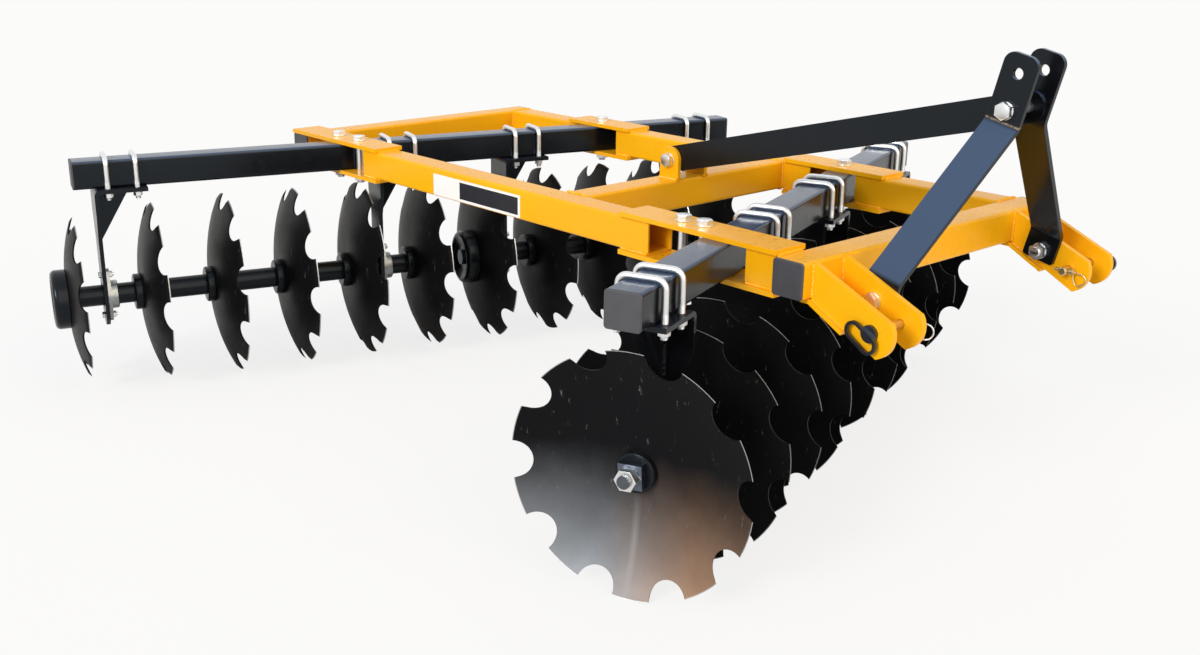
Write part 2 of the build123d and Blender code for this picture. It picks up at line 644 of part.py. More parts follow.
# Braces from the mast back to lugs on the middle crossmember
mast_bolt = mast_plane.from_local_coords((0, brace_bolt_height, 0))
lug_bolt = Vector(0, middle_crossmember_y + brace_lug_y, rail_top + brace_lug_height)
brace_outer = strap_top_gap / 2
with BuildPart() as braces:
    for side in (right, left):
        inner = brace_outer - brace_plate
        with BuildSketch(Plane.YZ.offset(inner if side == right else -brace_outer)):
            with Locations((mast_bolt.Y, mast_bolt.Z), (lug_bolt.Y, lug_bolt.Z)):
                Circle(brace_width / 2)
            make_hull()
            with Locations((mast_bolt.Y, mast_bolt.Z), (lug_bolt.Y, lug_bolt.Z)):
                Circle(frame_bolt / 2 + bolt_hole_gap, mode=Mode.SUBTRACT)
        extrude(amount=brace_plate)
pieces["mast_braces"] = braces.part

with BuildPart() as lugs:
    for side in (right, left):
        with BuildSketch(Plane.YZ.offset(brace_outer if side == right else -brace_outer - brace_plate)):
            with Locations((lug_bolt.Y, lug_bolt.Z)):
                Circle(brace_width / 2)
            with Locations((lug_bolt.Y, rail_top + brace_lug_height / 2)):
                Rectangle(brace_width, brace_lug_height)
            with Locations((lug_bolt.Y, lug_bolt.Z)):
                Circle(frame_bolt / 2 + bolt_hole_gap, mode=Mode.SUBTRACT)
        extrude(amount=brace_plate)
pieces["brace_lugs"] = lugs.part

# Bolts through the mast and its lugs, from the right, and through each strap's foot
to_x = (0, 90, 0)                           # turns a bolt's head from +Z to +X
stack = brace_outer + strap_plate
bolt_ends = (big_bolt_head, big_bolt_head_height, big_bolt_nut_height, frame_bolt_tail)
through = bolt(frame_bolt, 2 * stack, *bolt_ends)
pieces["mast_brace_bolt"] = place_copies(through, [Location((stack, mast_bolt.Y, mast_bolt.Z), to_x)])
pieces["lug_brace_bolt"] = place_copies(through, [Location((stack, lug_bolt.Y, lug_bolt.Z), to_x)])
foot_bolt = bolt(frame_bolt, strap_plate + clevis_ear, *bolt_ends)
slot_side = strap_foot_x + clevis_ear
pieces["strap_foot_bolts"] = place_copies(foot_bolt, [
    Location((slot_side, strap_foot_y, strap_foot.Z), (0, 90, 0)),
    Location((-slot_side, strap_foot_y, strap_foot.Z), (0, -90, 0))])

# Move everything so that the origin is at the bottom centre of the whole machine, then write it out
whole = Compound(children=[piece.moved(Location()) for piece in pieces.values()]).bounding_box()
centre = whole.center()
shift = Location((-centre.X, -centre.Y, -whole.min.Z))
os.makedirs("parts", exist_ok=True)
for name, piece in pieces.items():
    placed = piece.moved(shift)
    placed.label = name
    export_step(placed, f"parts/{name}.step")
size = whole.size
print(f"{len(pieces)} pieces, {size.X:.1f} x {size.Y:.1f} x {size.Z:.1f}, shift {shift.position}")
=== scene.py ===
import bpy, bmesh, json, math, random
from mathutils import Matrix, Vector


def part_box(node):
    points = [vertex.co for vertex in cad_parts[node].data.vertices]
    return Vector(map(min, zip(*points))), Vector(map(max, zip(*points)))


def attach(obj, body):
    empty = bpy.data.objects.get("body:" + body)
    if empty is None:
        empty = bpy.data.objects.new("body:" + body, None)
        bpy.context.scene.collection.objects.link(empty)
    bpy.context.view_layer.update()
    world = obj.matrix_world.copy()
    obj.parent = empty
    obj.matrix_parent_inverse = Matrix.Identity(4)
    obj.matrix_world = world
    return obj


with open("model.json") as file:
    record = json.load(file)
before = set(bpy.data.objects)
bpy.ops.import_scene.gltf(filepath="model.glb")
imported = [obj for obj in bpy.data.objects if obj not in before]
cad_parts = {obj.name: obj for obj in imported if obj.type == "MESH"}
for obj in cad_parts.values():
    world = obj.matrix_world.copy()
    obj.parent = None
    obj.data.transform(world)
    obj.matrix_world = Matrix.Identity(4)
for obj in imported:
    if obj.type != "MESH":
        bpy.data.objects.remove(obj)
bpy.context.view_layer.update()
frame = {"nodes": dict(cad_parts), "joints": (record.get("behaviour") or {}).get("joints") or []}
nodes = frame["nodes"]
hinges = {j["child"]: j for j in frame["joints"]}
gangNames = ("front_right", "front_left", "rear_right", "rear_left")
scene = bpy.context.scene
print("frame loaded:", len(nodes), "nodes")

# where things are, read from the frame

def place(x=0.0, y=0.0, z=0.0):
    return Matrix.Translation((x, y, z))

def turned(degrees, axis):
    return Matrix.Rotation(math.radians(degrees), 4, axis)

def gangMatrix(gang):
    # X along the axle the way the hollow faces look, Z up, origin midway between the end discs
    hinge = hinges[gang + "_gang"]
    along = Vector(hinge["axis"]).normalized()
    matrix = Matrix((along, Vector((0, 0, 1)).cross(along), Vector((0, 0, 1)))).transposed().to_4x4()
    matrix.translation = Vector(hinge["pos_m"])
    return matrix

gangLayout = {"pitch": 0.232, "discs": {"front_right": 5, "front_left": 5, "rear_right": 6, "rear_left": 5}}

def discStations(gang):
    count = gangLayout["discs"][gang]
    return [((count - 1) / 2 - k) * gangLayout["pitch"] for k in range(count)]

steel = {"tube": 0.0889, "corner": 0.009, "railX": 0.460, "middleY": -0.848, "plate": 0.0127}
half = steel["tube"] / 2
middleLow, middleHigh = (Vector(c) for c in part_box("middle_crossmember"))
railTop = middleHigh.z
railBottom = middleLow.z
centreline = Vector(((middleLow.x + middleHigh.x) / 2,
                     (middleLow.y + middleHigh.y) / 2 - steel["middleY"], 0))

def onFrame(x, y, z):
    # X from the machine's centreline, Y ahead of the front crossmember's centre, Z above the floor
    return centreline + Vector((x, y, z))

mast = {"footY": 0.133, "footDrop": 0.093, "lean": math.radians(13.1), "bendHeight": 0.4005,
        "boltHeight": 0.428, "stack": 0.0627, "slotSide": 0.373, "strapFace": 0.3443, "lugRise": 0.056}
strapFoot = onFrame(0, mast["footY"], railTop - mast["footDrop"])
strapAlong = (0, math.sin(mast["lean"]), math.cos(mast["lean"]))

def hangerMatrices(gang):
    stations = discStations(gang)
    back = gangLayout["pitch"] / 2
    return [gangMatrix(gang) @ place(x) for x in (stations[0] - back, stations[-1] + back)]

# helpers for shader nodes

def tree(owner):
    owner.use_nodes = True
    return owner.node_tree.nodes, owner.node_tree.links

def node(nodeSet, kind, **values):
    made = nodeSet.new(kind)
    for key, value in values.items():
        setattr(made, key, value)
    return made

def spread(nodeSet, links, source, low, high, fromLow=0.0, fromHigh=1.0):
    # maps one range of numbers on to another
    made = nodeSet.new("ShaderNodeMapRange")
    for slot, value in zip((1, 2, 3, 4), (fromLow, fromHigh, low, high)):
        made.inputs[slot].default_value = value
    links.new(source, made.inputs[0])
    return made.outputs[0]

def noise(nodeSet, links, where, scale, detail=3.0, rough=0.55):
    made = nodeSet.new("ShaderNodeTexNoise")
    made.inputs["Scale"].default_value = scale
    made.inputs["Detail"].default_value = detail
    made.inputs["Roughness"].default_value = rough
    links.new(where, made.inputs["Vector"])
    return made.outputs["Fac"]

def mixed(nodeSet, links, amount, first, second):
    made = nodeSet.new("ShaderNodeMix")
    made.data_type = "RGBA"
    for slot, value in ((0, amount), (6, first), (7, second)):
        if isinstance(value, (int, float)):
            made.inputs[slot].default_value = value
        elif isinstance(value, tuple):
            made.inputs[slot].default_value = (*value, 1)
        else:
            links.new(value, made.inputs[slot])
    return made.outputs[2]

def reckon(nodeSet, links, operation, first, second=None):
    made = node(nodeSet, "ShaderNodeMath", operation=operation)
    for slot, value in enumerate((first, second)):
        if isinstance(value, (int, float)):
            made.inputs[slot].default_value = value
        elif value is not None:
            links.new(value, made.inputs[slot])
    return made.outputs[0]

def bumped(nodeSet, links, height, strength, distance):
    made = nodeSet.new("ShaderNodeBump")
    made.inputs["Strength"].default_value = strength
    made.inputs["Distance"].default_value = distance
    links.new(height, made.inputs["Height"])
    return made.outputs[0]

def fixed(shader, values):
    for socket, value in values.items():
        shader.inputs[socket].default_value = value

def blended(nodeSet, links, amount, first, second, output):
    # two shaders mixed into an output node
    made = nodeSet.new("ShaderNodeMixShader")
    for slot, source in enumerate((amount, first, second)):
        links.new(source, made.inputs[slot])
    links.new(made.outputs[0], output.inputs[0])

def blankMaterial(name):
    # a new material, its nodes and links, and its shader
    material = bpy.data.materials.new(name)
    ns, ls = tree(material)
    return material, ns, ls, ns["Principled BSDF"]

def ownPlace(nodeSet):
    return nodeSet.new("ShaderNodeTexCoord").outputs["Object"]

# camera, floor and light

cameraSetup = {"place": (2.7850, 1.8330, 1.5130), "target": (1.1986, -0.0467, 0.7130), "roll": 0.207,
               "lens": 38.93, "sensor": 36, "shiftX": 0.0436, "shiftY": 0.001, "farthest": 1000}
camera = bpy.data.objects.new("camera", bpy.data.cameras.new("camera"))
scene.collection.objects.link(camera)
camera.data.lens, camera.data.sensor_width = cameraSetup["lens"], cameraSetup["sensor"]
camera.data.shift_x, camera.data.shift_y = cameraSetup["shiftX"], cameraSetup["shiftY"]
camera.location = onFrame(*cameraSetup["place"])
look = (onFrame(*cameraSetup["target"]) - camera.location).to_track_quat("-Z", "Y")
camera.rotation_euler = (look.to_matrix() @ turned(cameraSetup["roll"], "Z").to_3x3()).to_euler()
camera.data.clip_end = cameraSetup["farthest"]
scene.camera = camera
scene.view_settings.view_transform = "Standard"

lights = {"key": {"energy": 1.95, "angle": 20, "from": (0.90, 0.12, 0.44), "color": (1.0, 0.965, 0.91)},
          "fill": {"energy": 1.38, "angle": 60, "from": (-0.10, 0.90, 0.42), "color": (1.0, 0.80, 0.58)},
          "sky": {"color": (0.94, 0.97, 1.0), "strength": 0.56, "backdrop": (0.966, 0.964, 0.955)}}
for name in ("key", "fill"):
    lamp = bpy.data.objects.new(name, bpy.data.lights.new(name, "SUN"))
    lamp.data.energy, lamp.data.angle = lights[name]["energy"], math.radians(lights[name]["angle"])
    lamp.data.color = lights[name]["color"]
    lamp.rotation_euler = Vector(lights[name]["from"]).to_track_quat("Z", "Y").to_euler()
    scene.collection.objects.link(lamp)

world = bpy.data.worlds.new("studio")
scene.world = world
ns, ls = tree(world)
background, white = ns["Background"], ns.new("ShaderNodeBackground")
fixed(background, {"Color": (*lights["sky"]["color"], 1), "Strength": lights["sky"]["strength"]})
fixed(white, {"Color": (*lights["sky"]["backdrop"], 1)})
rays = ns.new("ShaderNodeLightPath").outputs
seen = reckon(ns, ls, "MAXIMUM", rays["Is Camera Ray"], rays["Is Transmission Ray"])
seen = reckon(ns, ls, "MAXIMUM", seen, rays["Is Glossy Ray"])
blended(ns, ls, seen, background.outputs[0], white.outputs[0], ns["World Output"])

floorLook = {"size": 300, "color": (0.86, 0.86, 0.86, 1), "rough": 0.85, "specular": 0.1, "glow": 0.80}
bm = bmesh.new()
bmesh.ops.create_grid(bm, x_segments=1, y_segments=1, size=floorLook["size"])
floorMesh = bpy.data.meshes.new("floor")
bm.to_mesh(floorMesh)
bm.free()
floor = bpy.data.objects.new("floor", floorMesh)
scene.collection.objects.link(floor)
floorPaint, ns, ls, shader = blankMaterial("paleFloor")
fixed(shader, {"Base Color": floorLook["color"], "Roughness": floorLook["rough"],
               "Specular IOR Level": floorLook["specular"]})
share = reckon(ns, ls, "MULTIPLY", ns.new("ShaderNodeLightPath").outputs["Is Camera Ray"], floorLook["glow"])
blended(ns, ls, share, shader.outputs[0], ns.new("ShaderNodeEmission").outputs[0], ns["Material Output"])
floorMesh.materials.append(floorPaint)
print("camera, floor and light done")

# materials

# dark surfaces throw the light back a little cooler than it falls
coolShine = (0.70, 0.85, 1.0)

paintGrain = {"drift": 3.5, "dust": 38, "peel": 210, "bendHighlight": 160}  # how fine each pattern is, to the metre
paintFinish = {"peelDepth": 0.0006, "coatRough": 0.08, "chipEdge": 0.02}
paintedSkySheenFrom, paintedSkySheenTo = 0.30, 0.62  # how far a face looks up before the painted sky sheen starts and where it is whole

def paintedBendHighlight(ns, ls, where, recipe):
    # painted highlight along a bend, which lies square to the leaning strap
    foot, along, height = recipe["highlightBend"]
    out = node(ns, "ShaderNodeVectorMath", operation="SUBTRACT")
    out.inputs[1].default_value = foot
    ls.new(where, out.inputs[0])
    rise = node(ns, "ShaderNodeVectorMath", operation="DOT_PRODUCT")
    rise.inputs[1].default_value = along
    ls.new(out.outputs[0], rise.inputs[0])
    gap = reckon(ns, ls, "ABSOLUTE", reckon(ns, ls, "SUBTRACT", rise.outputs["Value"], height))
    core, edge = recipe["highlightReach"]
    patchy = spread(ns, ls, noise(ns, ls, where, paintGrain["bendHighlight"], 4, 0.6), 0.15, 1, 0.36, 0.56)
    return reckon(ns, ls, "MULTIPLY", spread(ns, ls, gap, 1, 0, core, edge), patchy)

def glossPaint(name, recipe):
    # sprayed gloss paint: slow colour drift, orange peel, dust, a pale painted sky sheen on faces that look
    # up, chips, and a painted highlight along a bend where the recipe gives one
    paint, ns, ls, shader = blankMaterial(name)
    where = ownPlace(ns)
    drift = noise(ns, ls, where, paintGrain["drift"], 4)
    color = mixed(ns, ls, drift, recipe["deep"], recipe["color"])
    up = ns.new("ShaderNodeSeparateXYZ")
    ls.new(ns.new("ShaderNodeNewGeometry").outputs["Normal"], up.inputs[0])
    dustSpots = noise(ns, ls, where, paintGrain["dust"], 5, 0.65)
    dustAmount = reckon(ns, ls, "MULTIPLY", spread(ns, ls, up.outputs["Z"], 0, recipe["dust"], 0.5, 1.0),
                        spread(ns, ls, dustSpots, 0.2, 1.0, 0.35, 0.7))
    color = mixed(ns, ls, dustAmount, color, recipe["dustColor"])
    # painted reflection of the sky: faces that look up are tinted towards a blue-grey sheen
    if "paintedSkySheen" in recipe:
        film = spread(ns, ls, up.outputs["Z"], 0, recipe["paintedSkySheenAmount"], paintedSkySheenFrom, paintedSkySheenTo)
        color = mixed(ns, ls, film, color, recipe["paintedSkySheen"])
    # painted highlight: a thin brown line along a bend, for the recipes that give one
    if "highlightBend" in recipe:
        color = mixed(ns, ls, paintedBendHighlight(ns, ls, where, recipe), color, recipe["highlightColor"])
    chips = spread(ns, ls, noise(ns, ls, where, recipe["chipScale"], 6, 0.7), 0, 1,
                   recipe["chips"], recipe["chips"] + paintFinish["chipEdge"])
    color = mixed(ns, ls, chips, color, recipe["chipColor"])
    ls.new(color, shader.inputs["Base Color"])
    rough = spread(ns, ls, dustSpots, recipe["rough"] * 0.8, recipe["rough"] * 1.35, 0.3, 0.7)
    ls.new(rough, shader.inputs["Roughness"])
    fixed(shader, {"Specular IOR Level": recipe["specular"], "Coat Weight": recipe["coat"],
                   "Coat Roughness": paintFinish["coatRough"]})
    if "shine" in recipe:
        fixed(shader, {"Specular Tint": (*recipe["shine"], 1)})
    peel = noise(ns, ls, where, paintGrain["peel"], 2)
    ls.new(bumped(ns, ls, peel, recipe["peel"], paintFinish["peelDepth"]), shader.inputs["Normal"])
    return paint

yellowPaint = glossPaint("yellowPaint", {
    "color": (0.970, 0.505, 0.006), "deep": (0.94, 0.405, 0.005), "rough": 0.28, "coat": 0.06,
    "specular": 0.20, "dust": 0.04, "dustColor": (0.90, 0.74, 0.42), "chips": 0.875, "chipScale": 55,
    "chipColor": (0.33, 0.20, 0.07), "peel": 0.10})
# black paint, with a blue-grey painted sky sheen on faces that look up
blackRecipe = {
    "color": (0.006, 0.0065, 0.008), "deep": (0.004, 0.0045, 0.006), "rough": 0.18, "coat": 0.0,
    "specular": 0.32, "dust": 0.05, "dustColor": (0.16, 0.16, 0.17), "chips": 0.79, "chipScale": 48,
    "chipColor": (0.10, 0.085, 0.07), "peel": 0.05, "paintedSkySheen": (0.056, 0.090, 0.168), "paintedSkySheenAmount": 0.76,
    "shine": coolShine}
# the hangers take only a little of the painted sky sheen
hangerPaint = glossPaint("hangerPaint", dict(blackRecipe, paintedSkySheenAmount=0.12))
blackPaint = glossPaint("blackPaint", blackRecipe)
# the right strap: a bluer painted sky sheen and a painted highlight along its upper bend
strapPaint = glossPaint("strapPaint", dict(
    blackRecipe, paintedSkySheen=(0.060, 0.100, 0.192), highlightColor=(0.30, 0.22, 0.15),
    highlightBend=(strapFoot, strapAlong, mast["bendHeight"]), highlightReach=(0.0006, 0.0034)))
castPaint = glossPaint("castPaint", {
    "color": (0.008, 0.009, 0.011), "deep": (0.005, 0.006, 0.008), "rough": 0.20, "coat": 0.0,
    "specular": 0.22, "dust": 0.05, "dustColor": (0.14, 0.14, 0.15), "chips": 0.77, "chipScale": 40,
    "chipColor": (0.12, 0.09, 0.07), "peel": 0.35, "shine": coolShine})

steelGrain = {"cloud": 90, "fine": 900, "depth": 0.0002}

def platedSteel(name, color, stain, rough, grain):
    plated, ns, ls, shader = blankMaterial(name)
    where = ownPlace(ns)
    cloud = noise(ns, ls, where, steelGrain["cloud"], 4)
    ls.new(mixed(ns, ls, cloud, color, stain), shader.inputs["Base Color"])
    ls.new(spread(ns, ls, cloud, rough * 0.75, rough * 1.3), shader.inputs["Roughness"])
    fixed(shader, {"Metallic": 1.0})
    fine = noise(ns, ls, where, steelGrain["fine"], 2)
    ls.new(bumped(ns, ls, fine, grain, steelGrain["depth"]), shader.inputs["Normal"])
    return plated

yellowPlating = {"color": (0.72, 0.58, 0.28), "stain": (0.58, 0.47, 0.30), "rough": 0.34, "grain": 0.15}
brightZinc = platedSteel("brightZinc", (0.90, 0.92, 0.94), (0.68, 0.71, 0.74), 0.32, 0.15)
dullZinc = platedSteel("dullZinc", (0.42, 0.45, 0.455), (0.25, 0.28, 0.285), 0.36, 0.25)
darkSteel = platedSteel("darkSteel", (0.14, 0.155, 0.18), (0.08, 0.09, 0.11), 0.40, 0.25)
yellowZinc = platedSteel("yellowZinc", **yellowPlating)
pinLook = {"outerFace": 0.483, "head": (0.10, 0.115, 0.145)}

def pinSteel(side, sign, test):
    # yellow plated pin whose head and handle, beyond the outer ear, have gone blue grey
    pin = platedSteel("pinSteel_" + side, **yellowPlating)
    ns, ls = tree(pin)
    color = ns["Principled BSDF"].inputs["Base Color"]
    where = next(n for n in ns if n.bl_idname == "ShaderNodeTexCoord").outputs["Object"]
    parts = ns.new("ShaderNodeSeparateXYZ")
    ls.new(where, parts.inputs[0])
    isHead = reckon(ns, ls, test, parts.outputs["X"], onFrame(sign * pinLook["outerFace"], 0, 0).x)
    ls.new(mixed(ns, ls, isHead, color.links[0].from_socket, pinLook["head"]), color)
    return pin

rightPin = pinSteel("right", 1, "GREATER_THAN")
leftPin = pinSteel("left", -1, "LESS_THAN")

def gangCoordinates(ns, ls, where, gang):
    # place on that gang, distance along the axle and out from it, and the angle round it
    local = node(ns, "ShaderNodeMapping", vector_type="TEXTURE")
    matrix = gangMatrix(gang)
    fixed(local, {"Location": matrix.translation, "Rotation": matrix.to_euler()})
    ls.new(where, local.inputs["Vector"])
    parts = ns.new("ShaderNodeSeparateXYZ")
    ls.new(local.outputs[0], parts.inputs[0])
    flat = ns.new("ShaderNodeCombineXYZ")
    ls.new(parts.outputs["Y"], flat.inputs["Y"])
    ls.new(parts.outputs["Z"], flat.inputs["Z"])
    out = node(ns, "ShaderNodeVectorMath", operation="LENGTH")
    ls.new(flat.outputs[0], out.inputs[0])
    angle = reckon(ns, ls, "ARCTAN2", parts.outputs["Y"], parts.outputs["Z"])
    return parts.outputs, out.outputs["Value"], angle

discLook = {
    "color": (0.0036, 0.0042, 0.0056), "warm": (0.0070, 0.0062, 0.0060), "specular": 0.075, "drift": 7,
    "edge": (0.50, 0.50, 0.50), "rim": 0.2982, "rimFade": 0.0004,
    "smallRims": {"rear_right": ((4, 0.2882), (5, 0.2582))},
    "scuff": (0.20, 0.20, 0.20), "scuffScale": 21, "scuffTurn": (0.6, 0.2, 0.9),
    "scuffStretch": (1.0, 3.4, 1.0),
    # painted ground reflection: which gangs have it on the outermost disc, how far down it reaches, how
    # metallic
    "paintedReflection": ("front_right",), "paintedReflectionFrom": -0.27, "paintedReflectionTo": 0.05, "paintedReflectionMetal": 0.25,
    "blue": (0.275, 0.300, 0.335), "copper": (0.36, 0.225, 0.150), "sides": (-0.10, 0.14),
    "streak": (0.34, 0.34, 0.35), "streakAmount": 0.38, "streakWidth": (0.001, 0.012),
    "streakHeight": (-0.16, -0.05),
    "ringScale": 240, "ringWander": 0.012, "ringStrength": 0.12, "ringDepth": 0.0004}
nowhere = 10.0  # farther along an axle than any disc

def discSteel(gang):
    painted, ns, ls, shader = blankMaterial("discSteel_" + gang)
    where = ownPlace(ns)
    spot, out, angle = gangCoordinates(ns, ls, where, gang)
    along = spot["X"]
    drift = noise(ns, ls, where, discLook["drift"], 5, 0.6)
    color = mixed(ns, ls, drift, discLook["color"], discLook["warm"])
    # rolling marks: rings that wander a little
    ring = ns.new("ShaderNodeCombineXYZ")
    ls.new(out, ring.inputs["X"])
    ls.new(reckon(ns, ls, "MULTIPLY", angle, discLook["ringWander"]), ring.inputs["Y"])
    ls.new(along, ring.inputs["Z"])
    rings = noise(ns, ls, ring.outputs[0], discLook["ringScale"], 3)
    # painted reflection of the ground: the outermost disc is painted lighter and a little metallic towards
    # its lower edge, blue on one side and copper on the other
    outermostFrom = discStations(gang)[0] - gangLayout["pitch"] / 2 if gang in discLook["paintedReflection"] else nowhere
    outermost = reckon(ns, ls, "GREATER_THAN", along, outermostFrom)
    low = reckon(ns, ls, "ADD", spot["Z"], reckon(ns, ls, "MULTIPLY", spread(ns, ls, drift, -1, 1), 0.05))
    fade = spread(ns, ls, low, 1, 0, discLook["paintedReflectionFrom"], discLook["paintedReflectionTo"])
    paintedReflection = reckon(ns, ls, "MULTIPLY", reckon(ns, ls, "POWER", fade, 1.5), outermost)
    side = reckon(ns, ls, "ADD", spot["Y"], reckon(ns, ls, "MULTIPLY", low, 0.1))
    side = spread(ns, ls, side, 0, 1, *discLook["sides"])
    color = mixed(ns, ls, paintedReflection, color, mixed(ns, ls, side, discLook["blue"], discLook["copper"]))
    # a pale streak runs down from the nut
    streak = spread(ns, ls, reckon(ns, ls, "ABSOLUTE", spot["Y"]), discLook["streakAmount"], 0,
                    *discLook["streakWidth"])
    below = spread(ns, ls, spot["Z"], 1, 0, *discLook["streakHeight"])
    streak = reckon(ns, ls, "MULTIPLY", streak, reckon(ns, ls, "MULTIPLY", outermost, below))
    color = mixed(ns, ls, streak, color, discLook["streak"])
    # short pale scuffs
    stretched = ns.new("ShaderNodeMapping")
    fixed(stretched, {"Rotation": discLook["scuffTurn"], "Scale": discLook["scuffStretch"]})
    ls.new(where, stretched.inputs["Vector"])
    scuffs = noise(ns, ls, stretched.outputs[0], discLook["scuffScale"], 8, 0.74)
    scuffs = spread(ns, ls, scuffs, 0, 0.70, 0.622, 0.71)
    color = mixed(ns, ls, scuffs, color, discLook["scuff"])
    # ground edges, on the two small discs as well
    rim = spread(ns, ls, out, 0, 1, discLook["rim"] - discLook["rimFade"], discLook["rim"])
    for station, edge in discLook["smallRims"].get(gang, ()):
        near = reckon(ns, ls, "LESS_THAN", along, discStations(gang)[station] + gangLayout["pitch"] / 2)
        smallRim = spread(ns, ls, out, 0, 1, edge - discLook["rimFade"], edge)
        rim = reckon(ns, ls, "MAXIMUM", rim, reckon(ns, ls, "MULTIPLY", near, smallRim))
    ls.new(mixed(ns, ls, rim, color, discLook["edge"]), shader.inputs["Base Color"])
    metal = reckon(ns, ls, "MAXIMUM", reckon(ns, ls, "MULTIPLY", paintedReflection, discLook["paintedReflectionMetal"]), rim)
    ls.new(metal, shader.inputs["Metallic"])
    fixed(shader, {"Specular IOR Level": discLook["specular"], "Specular Tint": (*coolShine, 1)})
    # roughness is raised on the scuffs and on the painted reflection
    scuffsAndReflectionRough = reckon(ns, ls, "MULTIPLY", reckon(ns, ls, "MAXIMUM", scuffs, paintedReflection), 0.16)
    rough = reckon(ns, ls, "ADD", spread(ns, ls, drift, 0.32, 0.44, 0.3, 0.7), scuffsAndReflectionRough)
    ls.new(rough, shader.inputs["Roughness"])
    ls.new(bumped(ns, ls, rings, discLook["ringStrength"], discLook["ringDepth"]), shader.inputs["Normal"])
    return painted

arborLook = {"bar": ((0.15, 0.18, 0.23), (0.09, 0.11, 0.15)), "nut": ((0.86, 0.87, 0.89), (0.62, 0.65, 0.68)),
             "nutFrom": 0.0495, "rough": (0.26, 0.42), "grain": 0.2}

def arborSteel(gang):
    # oiled bar and washer, with a bright plated nut at the hollow end
    plated, ns, ls, shader = blankMaterial("arborSteel_" + gang)
    where = ownPlace(ns)
    spot, _, _ = gangCoordinates(ns, ls, where, gang)
    cloud = noise(ns, ls, where, steelGrain["cloud"], 4)
    bar, nut = (mixed(ns, ls, cloud, *arborLook[part]) for part in ("bar", "nut"))
    isNut = reckon(ns, ls, "GREATER_THAN", spot["X"], discStations(gang)[0] + arborLook["nutFrom"])
    ls.new(mixed(ns, ls, isNut, bar, nut), shader.inputs["Base Color"])
    ls.new(spread(ns, ls, cloud, *arborLook["rough"]), shader.inputs["Roughness"])
    fixed(shader, {"Metallic": 1.0})
    fine = noise(ns, ls, where, steelGrain["fine"], 2)
    ls.new(bumped(ns, ls, fine, arborLook["grain"], steelGrain["depth"]), shader.inputs["Normal"])
    return plated

capLook = {"colors": ((0.042, 0.043, 0.052), (0.070, 0.071, 0.084)), "cloud": 30, "rough": (0.45, 0.62),
           "grain": 1300, "grainStrength": 0.3, "grainDepth": 0.0002}

def capPlastic():
    plastic, ns, ls, shader = blankMaterial("capPlastic")
    where = ownPlace(ns)
    cloud = noise(ns, ls, where, capLook["cloud"], 4)
    ls.new(mixed(ns, ls, cloud, *capLook["colors"]), shader.inputs["Base Color"])
    ls.new(spread(ns, ls, cloud, *capLook["rough"]), shader.inputs["Roughness"])
    grain = noise(ns, ls, where, capLook["grain"], 2)
    ls.new(bumped(ns, ls, grain, capLook["grainStrength"], capLook["grainDepth"]), shader.inputs["Normal"])
    return plastic

greyPlastic = capPlastic()
print("materials done")

# the frame's own nodes: softened edges and finishes

edgeRules = {"sharp": math.radians(32), "flat": math.radians(0.6), "crease": math.radians(34),
             "merge": 0.00001, "steps": 2}

def softEdgeTree():
    # joins loose triangles, then shades smooth with sharp edges kept
    group = bpy.data.node_groups.new("softEdges", "GeometryNodeTree")
    group.interface.new_socket("Geometry", in_out="INPUT", socket_type="NodeSocketGeometry")
    group.interface.new_socket("Geometry", in_out="OUTPUT", socket_type="NodeSocketGeometry")
    ns, ls = group.nodes, group.links
    start, end = ns.new("NodeGroupInput"), ns.new("NodeGroupOutput")
    bare = ns.new("GeometryNodeRemoveAttribute")
    bare.inputs["Name"].default_value = "custom_normal"
    merge = ns.new("GeometryNodeMergeByDistance")
    merge.inputs["Distance"].default_value = edgeRules["merge"]
    smooth = node(ns, "GeometryNodeSetShadeSmooth", domain="FACE")
    crisp = node(ns, "GeometryNodeSetShadeSmooth", domain="EDGE")
    crisp.inputs["Shade Smooth"].default_value = False
    angle = ns.new("GeometryNodeInputMeshEdgeAngle")
    steep = reckon(ns, ls, "GREATER_THAN", angle.outputs["Unsigned Angle"], edgeRules["sharp"])
    ls.new(steep, crisp.inputs["Selection"])
    chain = [start.outputs[0]]
    for step in (bare, merge, smooth, crisp):
        ls.new(chain[-1], step.inputs["Geometry"])
        chain.append(step.outputs["Geometry"])
    ls.new(chain[-1], end.inputs[0])
    return group

softEdges = softEdgeTree()

def finish(name, material, edge):
    # edge is the width of the small round that a real edge has, in metres
    obj = nodes[name]
    obj.data.materials.clear()
    obj.data.materials.append(material)
    obj.modifiers.new("join", "NODES").node_group = softEdges
    flat = obj.modifiers.new("flat", "DECIMATE")
    flat.decimate_type, flat.angle_limit = "DISSOLVE", edgeRules["flat"]
    bevel = obj.modifiers.new("edge", "BEVEL")
    bevel.width, bevel.segments = edge, edgeRules["steps"]
    bevel.limit_method, bevel.angle_limit = "ANGLE", edgeRules["sharp"]
    bevel.harden_normals = True

frameLooks = {  # words in a node's name: its finish and the round on its edges
    "crossmember": (yellowPaint, 0.0010), "rail": (yellowPaint, 0.0010),
    "crossing_plates": (yellowPaint, 0.0012), "clevis": (yellowPaint, 0.0014),
    "brace_lugs": (yellowPaint, 0.0012), "gang_beam": (blackPaint, 0.0010),
    "hangers": (hangerPaint, 0.0014), "right_mast_strap": (strapPaint, 0.0012),
    "mast_strap": (blackPaint, 0.0012), "mast_braces": (blackPaint, 0.0012),
    "spools": (castPaint, 0.0012), "bumper": (castPaint, 0.0012), "bearings": (dullZinc, 0.0012),
    "_bolt": (brightZinc, 0.0006), "right_hitch": (rightPin, 0.0010), "left_hitch": (leftPin, 0.0010),
    "linchpin": (yellowZinc, 0.0006), "tube_end_caps": (greyPlastic, 0.0008)}
